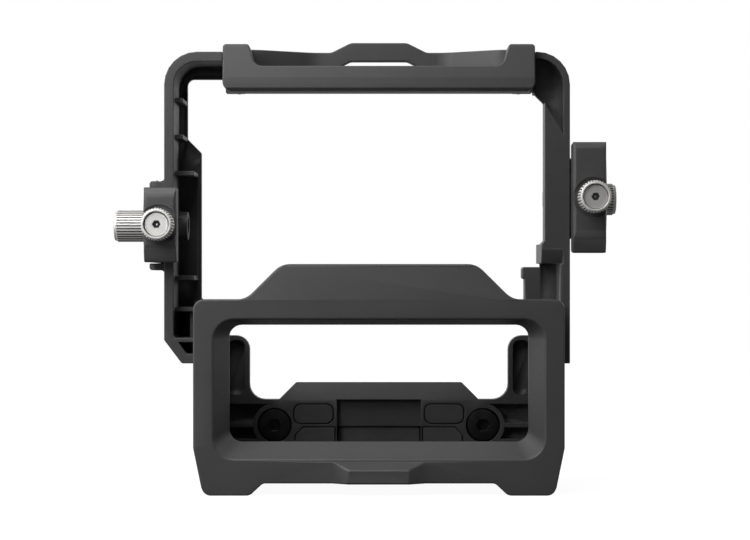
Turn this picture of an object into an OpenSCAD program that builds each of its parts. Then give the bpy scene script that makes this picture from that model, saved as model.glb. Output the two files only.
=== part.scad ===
// Transmitter cage: a windowed lower cradle with two side rails, a top bar and two
// hinged side blocks that carry knurled thumbscrews. Millimetres, Z up, front towards -Y.

/* [Bezel] */
// Width of the front bezel
bezel_w = 128; // [116:1:140]
// Height of the bezel's shoulders above the feet
shoulder_z = 67.6; // [64:0.2:76]
// Depth of the bezel from its front face to its back face
bezel_d = 10; // [9:0.5:13]
// Radius of the bezel's upper corners
bezel_corner_r = 3.4; // [1:0.1:5]
// Height of the forehead plate above the shoulders
forehead_h = 12.2; // [8:0.2:16]
// Width of the forehead plate along its top, before rounding
forehead_w = 67.4; // [50:0.2:72]
// Thickness of the forehead plate
forehead_t = 3.2; // [2.4:0.1:4]
// How far the forehead's top leans back
forehead_lean = 1.9; // [0:0.1:3]
// Radius of the forehead's bends
forehead_r = 7.4; // [2:0.1:8]
// How far the lower sides draw in above the feet
side_draw = 2.8; // [1:0.1:5]
// Height at which the lower sides start to draw in
side_draw_z = 16.4; // [12:0.2:24]
// Height of the arch between the feet
arch_z = 4.2; // [3:0.1:6]
// Half width of the arch, where it is flat
arch_hw = 40; // [34:0.5:42]
// Distance from the centre to a foot's inner edge
foot_in = 44.5; // [43:0.5:48]
// Inset of a foot's outer edge from the bezel's side
foot_inset = 4; // [3.4:0.1:7]
// Radius of the feet's corners
foot_r = 3.2; // [1.5:0.1:3.6]

/* [Window] */
// Width of the window at the front face
window_w = 114.4; // [108:0.2:116]
// Height of the window's lower front edge above the feet
window_low = 12.5; // [11:0.1:14]
// Inset of the window's upper front edge from the shoulders
window_drop = 6.8; // [5:0.1:9]
// Radius of the window's front corners
window_r = 7.2; // [5:0.1:9]
// Width of the bevel at the window's sides
bevel_side = 5.2; // [3.5:0.1:6]
// Height of the bevel at the window's foot
bevel_low = 5.5; // [3.5:0.1:6.5]
// Height of the bevel at the window's top
bevel_top = 2.3; // [1:0.1:3.5]
// Radius of the window's corners at the back of the bevel
throat_r = 4.4; // [2:0.1:5]

/* [Finger grip] */
// Width of the grip at the bezel's face
grip_w = 32.6; // [24:0.2:40]
// Width of the grip's front land
grip_land_w = 20.8; // [12:0.2:22]
// Height of the grip's front land
grip_land_h = 4.9; // [3:0.1:5.5]
// Distance of the grip's top below the window's edge
grip_drop = 0.9; // [0.6:0.1:2]
// How far the grip stands out from the bezel
grip_out = 4; // [2:0.1:5]

/* [Tray] */
// Depth of the tray between the bezel and the rear plate
tray_d = 32; // [30:0.5:40]
// Wall of the tray
tray_wall = 3.2; // [2.6:0.1:4]
// Inset of the tray's sides from the bezel's sides
tray_inset = 0.4; // [0.2:0.1:2]
// Inset of the tray's walls below the bezel's shoulders
tray_drop = 4; // [3:0.2:6]
// Radius of the posts that take the rear plate's screws
post_r = 2.7; // [2.4:0.1:3]
// Depth of those posts
post_d = 8; // [7:0.5:10]
// Distance of the snap hook from the centre, at its inner face
hook_x = 50.9; // [50:0.1:53]
// Width of the snap hook's stem
hook_w = 5.5; // [3:0.1:6]
// Height of the snap hook above the shoulders
hook_h = 11.2; // [6:0.2:12]
// How far the hook's head reaches in
hook_reach = 0.9; // [0.8:0.1:2.5]
// Height of the hook's head
hook_head_h = 4.2; // [3:0.1:5]
// Depth of the snap hook
hook_d = 8; // [5:0.5:10]

/* [Rear plate] */
// Thickness of the rear plate
plate_t = 5; // [4.8:0.1:7]
// Floor left behind the plate's pockets
pocket_floor = 1.4; // [1:0.1:2]
// Distance from the centre to an upright's inner edge
upright_x = 47.2; // [46:0.2:49]
// Height of the uprights
upright_z = 54; // [48:0.2:56]
// Radius of the uprights' inner upper corners
upright_r = 5; // [3:0.1:5.4]
// Height of the plate's crest between the uprights
crest_z = 30.7; // [30:0.1:33]
// Height of the plate's middle rise above the crest
rise_h = 6.1; // [4:0.1:8]
// Width of the middle rise along its top
rise_w = 60.6; // [50:0.2:62]
// How far the middle rise leans back at its top
rise_lean = 3.2; // [0:0.1:3.6]
// Radius of the bends between uprights and crest
crest_r = 5.7; // [4:0.1:6]
// Rim left round the pockets
pocket_rim = 1.7; // [1.2:0.1:2.5]
// Distance of the rear screws from the centre
rear_screw_x = 38; // [36.8:0.1:39.5]
// Height of the rear screws
rear_screw_z = 21.3; // [20.5:0.1:22.5]
// Radius of the counterbores
counterbore_r = 6.25; // [5.9:0.05:6.5]
// Depth of the counterbores
counterbore_d = 3; // [2.6:0.1:3.2]
// Distance of the oval pads from the centre
oval_x = 23.8; // [23.4:0.1:24]
// Height of the oval pads' middle
oval_z = 25.4; // [25:0.1:26]
// Length of an oval pad
oval_w = 14; // [10:0.1:14.4]
// Height of an oval pad
oval_h = 6.8; // [5:0.1:7]
// Radius of an oval pad's corners
oval_r = 2.4; // [1:0.1:2.5]
// Depth of the pads' seats
pad_seat = 1.2; // [0.8:0.1:1.6]
// Half width of the middle recess
middle_hw = 15.3; // [13:0.1:15.6]
// Depth of the middle recess
middle_d = 2.2; // [1.4:0.1:2.4]
// How far the centre pad lies below the middle recess's floor
centre_sink = 0.8; // [0.4:0.1:1]
// Distance from the centre to a lower pad's outer edge
lower_pad_out = 30.3; // [28:0.1:30.6]
// Top of the lower pads
lower_pad_top = 20.4; // [18:0.1:20.6]
// Foot of the lower pads
lower_pad_foot = 8.6; // [8:0.1:10]
// Chamfer on a lower pad's outer upper corner
lower_pad_cut = 2.6; // [1:0.1:4]

/* [Rails] */
// Distance from the bezel's front face back to the rails' front edges
rail_front = 13; // [12:0.5:16]
// Depth of the rails
rail_d = 25; // [24:0.5:30]
// Wall of the rails
rail_wall = 3.4; // [2.8:0.1:4]
// Height of the rails' tops
rail_top_z = 154.3; // [148:0.1:170]
// Height of the rails' lower ends
rail_low_z = 45; // [43:0.2:48]
// Radius of the rails' outer upper corners
rail_corner_r = 11.5; // [8:0.5:14]
// How far the left rail's outer face stands off the tray
left_stand = 11.7; // [11:0.1:14]
// Thickness of the left rail's back flange
flange_t = 3; // [2:0.1:4]
// Width of the left rail's back flange above its step
flange_w = 6.2; // [5.6:0.1:8]
// Gap between the flange's inner edge and the line of the tray's side
flange_clear = 0.5; // [0.2:0.1:1]
// Distance of the flange's step below the rail's top
step_drop = 34.2; // [30:0.2:38]
// Height of the left rail's top arm at the back
arm_h = 7.6; // [6:0.1:9]
// Thickness of the ribs
rib_t = 1.6; // [1.2:0.1:2.2]
// Distance of the ribs' front edges behind the rail's front edge
rib_inset = 5; // [3:0.5:9]
// Distance of the first rib below the rail's top
rib_first = 16.6; // [15:0.2:18]
// Pitch of the upper ribs
rib_pitch = 12.9; // [11:0.1:13.2]
// Distance of the first low rib above the rail's lower end
low_rib_first = 18.9; // [17:0.1:20]
// Pitch of the low ribs
low_rib_pitch = 11.1; // [10:0.1:11.5]
// Rise of the slanted lower corner
heel_rise = 8.2; // [7:0.1:10]
// Run of the slanted lower corner
heel_run = 6.2; // [5:0.1:8]
// Distance of the right rail's web behind its front edge
web_inset = 6; // [4:0.5:9]
// Thickness of the right rail's web
web_t = 3; // [2:0.1:4]
// Width of the right rail, web and wall together
web_w = 8.9; // [7.5:0.1:10]
// Extra width of the right rail's lower shoulder
shoulder_extra = 1.1; // [0.8:0.1:2.5]
// Height of the right rail's lower shoulder above the bezel's shoulders
shoulder_up = 12.5; // [12:0.1:16]
// Height of the full front at the lip, above the shoulder's underside
front_up = 41.7; // [36:0.1:46]
// Height of that lower shoulder
shoulder_h = 6.9; // [4:0.1:7.2]
// Thickness of the right rail's front lip above the shoulder
lip_t = 2.4; // [1.2:0.1:3]
// Height of the right rail's top arm
right_arm_h = 14.1; // [12:0.1:15]

/* [Top bar] */
// Length of the top bar
top_bar_w = 109; // [100:0.5:112]
// Distance from the bezel's front face back to the top bar's face
top_bar_front = 8; // [6:0.5:9]
// Depth of the top bar
top_bar_d = 12; // [11:0.5:14]
// Distance of the bar's underside below the rails' tops
bar_low = 14.3; // [14:0.1:18]
// Height of the bar in its notch
bar_h = 8.9; // [7:0.1:10]
// Height of the end blocks above the rails' tops
end_up = 2.4; // [0.5:0.1:3]
// Length of an end block along its top
end_w = 9; // [8:0.1:12]
// Radius of the bar's bends
notch_r = 3.6; // [2:0.1:4.5]
// Chamfer along the bar's lower front edge
bar_cut = 1.2; // [0.8:0.1:1.6]
// Radius of the top bar's lower outer corners
bar_corner_r = 3.4; // [2:0.1:4]
// Height of the crease above the bar's underside
crease_h = 4.7; // [3:0.1:6]
// How far the bar's upper face leans back
bar_lean = 1.8; // [0:0.1:3]
// Thickness of the rear bar
rear_bar_t = 4; // [3:0.1:5]
// Height of the rear bar's strip
rear_bar_h = 6.7; // [5:0.1:8]
// Height of the rear bar's top above the rails' tops
rear_bar_up = 1.5; // [0.5:0.1:2.5]
// How far the rear bar bows back
bow = 10; // [8:0.5:12]
// Half width of the rear bar's straight middle
bow_hw = 23.6; // [20:0.2:26]
// Radius of the rear bar's bends seen from above
bend_r = 14; // [6:0.5:18]
// Rise of the loop in the rear bar
loop_up = 3.5; // [2:0.1:4]
// Half width of the loop's flat top
loop_hw = 10.1; // [7:0.1:12]

/* [Blocks] */
// Distance from the bezel's front face back to the blocks' faces
block_front = 4; // [3:0.5:4.5]
// Height of the left block's middle
left_block_z = 93.4; // [92:0.2:100]
// Height of the left block
left_block_h = 26; // [20:0.2:28]
// Width of the left block outside the rail
left_block_w = 5.9; // [5.5:0.1:6.6]
// How far the left block reaches past the rail's wall
wrap_over = 1.7; // [0.5:0.1:2.5]
// Height of the right block's middle
right_block_z = 102.9; // [101:0.2:112]
// Height of the right block's head
right_block_h = 38.4; // [30:0.2:40]
// Height of the right block behind its head
right_tail_h = 22; // [18:0.2:23]
// Width of the right block
right_block_w = 11.5; // [10.8:0.1:13]
// Depth of the right block's head
right_head_d = 10; // [9.8:0.1:11]
// Height of the slope at the blocks' upper front edges
brow_h = 3.2; // [1.5:0.1:4]
// Height of that slope on the right block
right_brow_h = 1.8; // [1.2:0.1:3]
// How far those slopes lean back
brow_d = 0.9; // [0.4:0.1:1.6]
// Height of the slope at the blocks' lower front edges
chin_h = 6; // [3:0.1:6.4]
// How far that slope leans back
chin_d = 2.2; // [0.8:0.1:3]
// Radius of the round recesses under the front thumbscrews
dish_r = 6.8; // [6.2:0.1:7]
// Depth of those recesses
dish_d = 0.6; // [0.3:0.1:1]
// Radius of the blocks' hinge knuckles
knuckle_r = 2.7; // [2.6:0.05:3]
// Distance of the hinge pins from the rails' back
hinge_back = 4.2; // [3.5:0.1:5]
// Radius of the hinge pins
pin_r = 1.5; // [1.2:0.05:1.55]
// Wall round the threaded inserts in the rails
boss_t = 2.2; // [1.4:0.1:2.6]
// How far those inserts' bosses stand out inside the rails
boss_out = 4.2; // [2.5:0.1:4.6]
// Thickness of the hinge ears
ear_t = 2.4; // [1.8:0.1:3]
// Distance of the ears' front edges behind the rails' front edges
ear_inset = 3; // [2:0.5:5]
// Radius of the fillets between ears and rails
ear_fillet = 1.6; // [0.8:0.1:2.4]
// Gap between a block and its ears
ear_gap = 0.3; // [0.3:0.05:0.8]
// Height of a hinge pin's head
pin_head_h = 1; // [0.6:0.1:1.4]

/* [Thumbscrews] */
// Outer radius of the knurled sleeves
knob_r = 5.6; // [5.4:0.05:5.8]
// Teeth round a knurled sleeve
knob_teeth = 34; // [30:1:48]
// Depth of the knurling
knurl_d = 0.5; // [0.2:0.05:0.6]
// Chamfer on the sleeves' ends
knob_cut = 0.7; // [0.5:0.05:1]
// Distance of the left front screw from the left block's outer face
left_front_in = 5.2; // [4.2:0.1:6]
// Distance of the right front screw from the right block's inner face
right_front_in = 7; // [4.2:0.1:7.2]
// Length of the front sleeves
front_knob_l = 8.1; // [6:0.1:9]
// Length of the side sleeves
side_knob_l = 12; // [10:0.1:14]
// Depth to which the right side sleeve sinks into its block
right_sink = 7.1; // [5:0.1:7.4]
// Distance of the side screws behind the rails' front edges
side_screw_in = 11; // [10:0.2:12]
// Radius of the screws' shanks
shank_r = 2; // [1.6:0.05:2]
// Radius of the screws' heads
head_r = 4.1; // [3.4:0.05:4.2]
// Height of the screws' heads
head_h = 2.2; // [1.6:0.1:2.6]
// Depth of a head below its sleeve's face
head_sink = 1; // [0.3:0.1:1.2]
// Hex socket across its flats
hex_af = 2.5; // [2:0.1:3]
// Depth of the hex sockets
hex_d = 1.5; // [0.8:0.1:1.6]
// Outer radius of the threaded inserts
insert_r = 2.9; // [2.7:0.05:3]
// Length of the threaded inserts behind the front thumbscrews
insert_l = 6.5; // [5:0.1:7]

/* [Fasteners] */
// Radius of the small screws' shanks
small_r = 1.25; // [1:0.05:1.4]
// Radius of the small screws' heads
small_head_r = 2.2; // [2:0.05:2.3]
// Height of the small screws' heads
small_head_h = 1.4; // [1:0.1:1.8]
// Depth to which the small screws bite
bite = 5; // [4:0.2:5.4]
// Radius of the rear screws' studs
stud_r = 3.1; // [2.8:0.05:3.3]
// Radius of the necks that turn in the plate
neck_r = 2.5; // [2:0.05:2.6]
// How far the studs stand out behind the plate
stud_out = 6; // [4.5:0.5:10]
// Height of the rear screws' heads
rear_head_h = 2.6; // [2:0.1:2.6]
// Hex socket of the rear screws across its flats
rear_hex_af = 4; // [3:0.1:5]
// Depth of the rear screws' hex sockets
rear_hex_d = 1.6; // [1:0.1:1.8]
// Thickness of the retaining rings
ring_t = 1; // [0.8:0.1:1.4]
// Width of the retaining rings
ring_w = 1.5; // [1.2:0.1:2]

/* [Rounding] */
// Radius of the smallest corner rounds
fine_r = 0.8; // [0.4:0.1:1]
// Radius of ordinary corner rounds
edge_r = 1.2; // [0.8:0.1:1.5]
// Radius of broad corner rounds
broad_r = 2.4; // [1.5:0.1:2.6]
// Radius of sweeping bends
sweep_r = 4; // [3:0.1:4.4]

/* [Fits] */
// Radial clearance of parts that turn
turn_fit = 0.06; // [0.03:0.01:0.1]
// Radial clearance of screws in the holes they pass
pass_fit = 0.2; // [0.1:0.05:0.3]
// Gap between parts that move past each other
move_gap = 0.3; // [0.25:0.05:0.5]
// Gap round pads in their seats
pad_gap = 0.4; // [0.2:0.05:0.5]

/* [Hidden] */
$fn = 48;
// Steps along a rounded corner
arc_n = 6;
// Overlap that joins solids of one piece, and the overshoot of cuts
eps = 0.02;
over = 1;

// Bezel and window
bezel_hw = bezel_w / 2;
foot_out = bezel_hw - foot_inset;
crown_z = shoulder_z + forehead_h;
throat_hw = window_w / 2 - bevel_side;
throat_low = window_low + bevel_low;
throat_top = shoulder_z - window_drop - bevel_top;

// Tray
tray_hw = bezel_hw - tray_inset;
tray_in = tray_hw - tray_wall;
tray_back = bezel_d + tray_d;
tray_top = shoulder_z - tray_drop;
tray_floor = arch_z + tray_wall;
bezel_screw_x = tray_in - small_head_r - move_gap;
bezel_screw_zs = [throat_low, throat_top - small_head_r];
plate_screw_x = tray_in - post_r + eps;
plate_screw_zs = [tray_floor + post_r, upright_z - 3 * post_r];

// Rear plate
plate_back = tray_back + plate_t;
stud_end = plate_back + stud_out;
lower_pad_in = middle_hw + 2 * pad_gap;
centre_floor = tray_back + middle_d + centre_sink + pad_seat;
rear_head_y = tray_back + counterbore_d - move_gap;

// Rails
rail_back = rail_front + rail_d;
left_out = tray_hw + left_stand;
right_out = tray_hw + rail_wall;
flange_front = rail_back - flange_t;
web_front = rail_front + web_inset;
web_in = right_out - web_w;
shoulder_low = shoulder_z + shoulder_up;
step_z = rail_top_z - step_drop;
step_in = left_out - flange_w;
flange_in = tray_hw + flange_clear;
rail_screw_y = rail_front + rail_d / 2;
rail_screw_zs = [rail_low_z + 2 * small_head_r, shoulder_z - tray_drop - 2 * small_head_r];

// Top bar
bar_hw = top_bar_w / 2;
web_top_z = rail_top_z - right_arm_h - (web_in - bar_hw);
bar_low_z = rail_top_z - bar_low;
bar_top_z = bar_low_z + bar_h;
end_z = rail_top_z + end_up;
end_in = bar_hw - end_w;
bar_back = top_bar_front + top_bar_d;
tab_back = bar_back + rear_bar_t;
rear_top_z = rail_top_z + rear_bar_up;
rear_low_z = rear_top_z - rear_bar_h;
bar_screw_x = bar_hw - end_w / 2;
lug_back = tab_back + bite;

// Blocks and thumbscrews
hinge_y = rail_back - hinge_back;
ear_front = rail_front + ear_inset;
left_in = left_out + move_gap;
left_face = left_in + left_block_w;
left_wrap_x = left_out - rail_wall - wrap_over;
left_pin_x = left_in + knuckle_r;
left_front_x = left_face - left_front_in;
right_in = right_out + move_gap;
right_face = right_in + right_block_w;
right_pin_x = right_in + knuckle_r;
right_front_x = right_in + right_front_in;
side_y = rail_front + side_screw_in;
dish_y = block_front + dish_d;
knob_face_y = dish_y - move_gap - front_knob_l;
left_end = left_face + move_gap + side_knob_l;
right_seat = right_face - right_sink;
right_end = right_seat + move_gap + side_knob_l;
boss_r = insert_r + boss_t;
boss_l = rail_wall + boss_out;
rail_insert_l = boss_l - rib_t;
side_insert_l = left_block_w - move_gap;
rail_bite = rail_wall - rib_t / 2;
tab_end = bar_hw - move_gap;
tab_low_z = bar_low_z + fine_r;
bar_screw_zs = [tab_low_z + small_head_r, rail_top_z - rail_wall - small_head_r - move_gap];
arm_in = bar_screw_x - small_head_r - move_gap;
bow_shift = rear_bar_t / 3;
loop_run = 2 * loop_up;

// Box of the whole object, which sets the frame's origin under its middle
front_y = min(-grip_out, knob_face_y);
centre_x = (right_end - left_end) / 2;
centre_y = (front_y + stud_end) / 2;

function unit(v) = v / norm(v);
// Arc of radius r that rounds the corner at b between a and c
function corner(a, b, c, r) =
    let (u = unit(a - b), v = unit(c - b), half = acos(u * v) / 2,
         o = b + unit(u + v) * r / sin(half), p = b + u * r / tan(half) - o,
         q = b + v * r / tan(half) - o, start = atan2(p.y, p.x),
         turn = (atan2(q.y, q.x) - start + 540) % 360 - 180)
    [for (k = [0:arc_n]) o + r * [cos(start + turn * k / arc_n), sin(start + turn * k / arc_n)]];
// Outline through corners given as [x, y, radius]
function rounded(c) = let (n = len(c)) [for (i = [0:n - 1])
    let (a = c[(i + n - 1) % n], b = c[i], d = c[(i + 1) % n])
    each b[2] == 0 ? [[b.x, b.y]] : corner([a.x, a.y], [b.x, b.y], [d.x, d.y], b[2])];
function box_pts(x0, x1, z0, z1, r = 0) = [[x0, z0, r], [x1, z0, r], [x1, z1, r], [x0, z1, r]];
// A right half outline and its mirror image as one outline
function both(h) = concat(h, [for (i = [len(h) - 1:-1:0]) [-h[i].x, h[i].y, h[i][2]]]);

module slab_y(c, y0, y1) translate([0, y1, 0]) rotate([90, 0, 0])
    linear_extrude(y1 - y0) polygon(rounded(c));
module slab_x(c, x0, x1) translate([x0, 0, 0]) rotate([90, 0, 90])
    linear_extrude(x1 - x0) polygon(rounded(c));
module slab_z(c, z0, z1) translate([0, 0, z0]) linear_extrude(z1 - z0) polygon(rounded(c));
module block(x, y, z) translate([x[0], y[0], z[0]]) cube([x[1] - x[0], y[1] - y[0], z[1] - z[0]]);
module rod_y(r, x, z, y0, y1) translate([x, y1, z]) rotate([90, 0, 0]) cylinder(r = r, h = y1 - y0);
module rod_x(r, y, z, x0, x1) translate([x0, y, z]) rotate([0, 90, 0]) cylinder(r = r, h = x1 - x0);
module rod_z(r, x, y, z0, z1) translate([x, y, z0]) cylinder(r = r, h = z1 - z0);
module both_sides() for (s = [0, 1]) mirror([s, 0, 0]) children();
// Small screw along -Y with its head's underside at y, and its hex socket
module small_screw_y(x, z, y, l) difference() {
    union() {
        rod_y(small_r, x, z, y - l, y + eps);
        rod_y(small_head_r, x, z, y, y + small_head_h);
    }
    translate([x, y + small_head_h / 2, z]) rotate([-90, 0, 0]) cylinder(r = small_r, h = over, $fn = 6);
}

module window_plate(y, hw, low, top, r) slab_y(box_pts(-hw, hw, low, top, r), y, y + eps);
// Bevelled window through the bezel
module window_cut() hull() {
    window_plate(-eps, window_w / 2, window_low, shoulder_z - window_drop, window_r);
    window_plate(bezel_d, throat_hw, throat_low, throat_top, throat_r);
}
module finger_grip() intersection() {
    slab_x([[eps, arch_z, 0], [eps, window_low - grip_drop, 0], [-grip_out, arch_z + grip_land_h, 0],
        [-grip_out, arch_z, fine_r]], -grip_w, grip_w);
    slab_z([[-grip_w / 2, eps, 0], [-grip_land_w / 2, -grip_out, edge_r],
        [grip_land_w / 2, -grip_out, edge_r],
        [grip_w / 2, eps, 0]], 0, shoulder_z);
}
function bezel_outline() = both([[arch_hw, arch_z, broad_r], [foot_in, 0, foot_r], [foot_out, 0, foot_r],
    [bezel_hw - side_draw, side_draw, edge_r], [bezel_hw, side_draw_z, sweep_r],
    [bezel_hw, shoulder_z, bezel_corner_r], [forehead_w / 2 + forehead_h, shoulder_z, forehead_r],
    [forehead_w / 2, crown_z, forehead_r]]);
module front_bezel() color("#3c3d3f") difference() {
    union() {
        intersection() {
            slab_y(bezel_outline(), 0, bezel_d);
            slab_x([[0, 0, 0], [bezel_d, 0, 0], [bezel_d, shoulder_z, 0], [forehead_t, shoulder_z, 0],
                [forehead_t + forehead_lean, crown_z, 0], [forehead_lean, crown_z, edge_r],
                [0, shoulder_z, 0]], -bezel_hw, bezel_hw);
        }
        finger_grip();
    }
    window_cut();
    both_sides() for (z = bezel_screw_zs)
        rod_y(small_r + turn_fit, bezel_screw_x, z, bezel_d - bite, bezel_d + over);
}

module snap_hook() slab_y([[hook_x, throat_top, 0], [tray_in + eps, throat_top, 0],
    [tray_in + eps, tray_top, 0], [hook_x + hook_w, tray_top, 0],
    [hook_x + hook_w, shoulder_z + hook_h, fine_r], [hook_x - hook_reach, shoulder_z + hook_h, fine_r],
    [hook_x - hook_reach, shoulder_z + hook_h - hook_head_h, fine_r],
    [hook_x, shoulder_z + hook_h - hook_head_h, 0]], bezel_d, bezel_d + hook_d);
module base_tray() color("#2b2c2e") difference() {
    union() {
        difference() {
            slab_y(both([[tray_hw - side_draw, arch_z, 0], [tray_hw, side_draw_z, 0],
                [tray_hw, tray_top, edge_r]]), bezel_d, tray_back);
            slab_y(both([[tray_in - side_draw, tray_floor, broad_r], [tray_in, side_draw_z, 0],
                [tray_in, tray_top + over, 0]]), bezel_d + tray_wall, tray_back + over);
            slab_y(box_pts(-throat_hw - move_gap, throat_hw + move_gap, throat_low - move_gap,
                throat_top + move_gap, throat_r), bezel_d - over, bezel_d + over + tray_wall);
        }
        both_sides() {
            slab_y([[arch_hw, arch_z + eps, 0], [foot_in, 0, foot_r], [foot_out - side_draw, 0, edge_r],
                [tray_hw - side_draw, arch_z + eps, 0]], bezel_d, tray_back);
            for (z = plate_screw_zs) rod_y(post_r, plate_screw_x, z, tray_back - post_d, tray_back);
        }
        snap_hook();
    }
    both_sides() {
        for (z = bezel_screw_zs)
            rod_y(small_r + pass_fit, bezel_screw_x, z, bezel_d - over, bezel_d + tray_wall + over);
        for (z = plate_screw_zs)
            rod_y(small_r + turn_fit, plate_screw_x, z, tray_back - bite, tray_back + over);
        for (z = rail_screw_zs)
            rod_x(small_r + pass_fit, rail_screw_y, z, tray_in - over, tray_hw + over);
    }
}

module round_seat(x, z) rod_y(counterbore_r, x, z, tray_back - over, tray_back + counterbore_d);
// Pockets beside a rear screw, cut back round its counterbore
module side_pockets() difference() {
    for (z = [[throat_low - pocket_rim, rear_screw_z - pocket_rim / 2],
            [rear_screw_z + pocket_rim / 2, crest_z - pocket_rim]])
        block([rear_screw_x, tray_in - 2 * post_r], [tray_back - over, plate_back - pocket_floor], z);
    rod_y(counterbore_r + pocket_rim, rear_screw_x, rear_screw_z, tray_back - 2 * over, plate_back);
}
// Oval pad, or its seat with a gap of g round it
module oval(g) slab_y(box_pts(oval_x - oval_w / 2 - g, oval_x + oval_w / 2 + g,
    oval_z - oval_h / 2 - g, oval_z + oval_h / 2 + g, oval_r + g),
    tray_back - (g > 0 ? over : 0), tray_back + pad_seat);
// Lower pad, or its seat with a gap of g round it
module lower_pad(g) slab_y([[lower_pad_in - g, lower_pad_foot - g, 0],
    [lower_pad_out + g, lower_pad_foot - g, 0],
    [lower_pad_out + g, lower_pad_top - lower_pad_cut, 0],
    [lower_pad_out - lower_pad_cut, lower_pad_top + g, 0],
    [lower_pad_in - g, lower_pad_top + g, 0]],
    tray_back - (g > 0 ? over : 0), tray_back + pad_seat);
module rear_plate() color("#333436") difference() {
    intersection() {
        slab_y(both([[tray_hw - side_draw, arch_z, edge_r], [tray_hw, side_draw_z, 0],
            [tray_hw, upright_z, sweep_r], [upright_x, upright_z, upright_r],
            [upright_x, crest_z, crest_r], [rise_w / 2 + rise_h, crest_z, 0],
            [rise_w / 2, crest_z + rise_h, edge_r]]), tray_back, plate_back);
        union() {
            block([-upright_x, upright_x], [tray_back, plate_back], [arch_z, crest_z]);
            both_sides()
                block([rise_w / 2 + rise_h, tray_hw], [tray_back, plate_back], [arch_z, upright_z]);
            slab_x([[tray_back, crest_z, 0], [plate_back, crest_z, 0], [plate_back, upright_z, 0],
                [tray_back + rise_lean, crest_z + rise_h, 0]], -upright_x + crest_r, upright_x - crest_r);
        }
    }
    block([-middle_hw, middle_hw], [tray_back - over, tray_back + middle_d], [lower_pad_foot, crest_z]);
    block([-middle_hw, middle_hw], [tray_back - over, centre_floor],
        [lower_pad_foot, lower_pad_top + pad_gap]);
    both_sides() {
        slab_y(box_pts(upright_x + pocket_rim, tray_in - 2 * post_r, crest_z + pocket_rim,
            upright_z - pocket_rim, broad_r), tray_back - over, plate_back - pocket_floor);
        side_pockets();
        round_seat(rear_screw_x, rear_screw_z);
        rod_y(neck_r + turn_fit, rear_screw_x, rear_screw_z, tray_back, plate_back + over);
        rod_y(neck_r + ring_w + pad_gap, rear_screw_x, rear_screw_z,
            plate_back - ring_t, plate_back + over);
        oval(pad_gap);
        lower_pad(pad_gap);
        for (z = plate_screw_zs)
            rod_y(small_r + pass_fit, plate_screw_x, z, tray_back - over, plate_back + over);
    }
}
module oval_pads() color("#2a2a2b") both_sides() oval(0);
module lower_pads() color("#2a2a2b") both_sides() lower_pad(0);
module centre_pad() color("#2a2a2b") slab_y(box_pts(-middle_hw + pad_gap, middle_hw - pad_gap,
    lower_pad_foot + pad_gap, lower_pad_top, fine_r),
    centre_floor - pad_seat, centre_floor);
module rear_screw(x) color("#1d1d1f") difference() {
    union() {
        rod_y(counterbore_r - move_gap, x, rear_screw_z, rear_head_y - rear_head_h, rear_head_y);
        rod_y(neck_r, x, rear_screw_z, rear_head_y - eps, plate_back + move_gap + eps);
        rod_y(stud_r, x, rear_screw_z, plate_back + move_gap, stud_end);
    }
    translate([x, rear_head_y - rear_head_h - over, rear_screw_z]) rotate([-90, 30, 0])
        cylinder(r = rear_hex_af / sqrt(3), h = over + rear_hex_d, $fn = 6);
}
module rear_screw_left() rear_screw(-rear_screw_x);
module rear_screw_right() rear_screw(rear_screw_x);
module screw_rings() color("#b9bbbd") both_sides() difference() {
    rod_y(neck_r + ring_w, rear_screw_x, rear_screw_z, plate_back - ring_t, plate_back);
    rod_y(neck_r + turn_fit, rear_screw_x, rear_screw_z, plate_back - ring_t - over, plate_back + over);
}
module bezel_screws() color("#55575a") both_sides() for (z = bezel_screw_zs)
    small_screw_y(bezel_screw_x, z, bezel_d + tray_wall, tray_wall + bite - move_gap);
module plate_screws() color("#55575a") both_sides() for (z = plate_screw_zs)
    small_screw_y(plate_screw_x, z, plate_back, plate_t + bite - move_gap);

// Hinge ear from z up, on the outer face at x of a rail on the +X side, rounded above or below
module ear(x, pin_x, z, up) intersection() {
    union() {
        slab_z([[x - eps, ear_front, 0], [pin_x + knuckle_r, ear_front, broad_r],
            [pin_x + knuckle_r, hinge_y, 0], [pin_x, hinge_y + knuckle_r, 0],
            [x - eps, hinge_y + knuckle_r, 0]], z, z + ear_t);
        rod_z(knuckle_r, pin_x, hinge_y, z, z + ear_t);
    }
    slab_y([[x - over, z, 0], [pin_x + knuckle_r, z, up ? 0 : edge_r],
        [pin_x + knuckle_r, z + ear_t, up ? edge_r : 0], [x - over, z + ear_t, 0]],
        ear_front - over, rail_back + over);
}
// Fillet between a rail's outer face at x and an ear's face at z, above it or below it
module ear_root(x, z, up) difference() {
    block([x - eps, x + ear_fillet], [ear_front, hinge_y],
        up ? [z - eps, z + ear_fillet] : [z - ear_fillet, z + eps]);
    rod_y(ear_fillet, x + ear_fillet, up ? z + ear_fillet : z - ear_fillet,
        ear_front - over, hinge_y + over);
}
// Ears above and below a block, with their fillets
module ears(x, pin_x, low, high) {
    ear(x, pin_x, low - ear_gap - ear_t, false);
    ear(x, pin_x, high + ear_gap, true);
    ear_root(x, low - ear_gap - ear_t, false);
    ear_root(x, high + ear_gap + ear_t, true);
}
module ear_bores(pin_x, low, high) rod_z(pin_r + turn_fit, pin_x, hinge_y,
    low - 2 * ear_t, high + 2 * ear_t);
// Room that the top bar and the rear bar's tab take from a rail's arm
module bar_room() block([arm_in - over, bar_hw + move_gap], [rail_front - over, tab_back],
    [bar_low_z - over, end_z + over]);
module arm_lug() block([arm_in, bar_hw], [tab_back, lug_back], [tab_low_z, rail_top_z]);
module lug_bores() for (z = bar_screw_zs)
    rod_y(small_r + pass_fit, bar_screw_x, z, tab_back - over, lug_back + over);
module rail_pilots() for (z = rail_screw_zs)
    rod_x(small_r + turn_fit, rail_screw_y, z, tray_hw - over, tray_hw + rail_bite);
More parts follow.
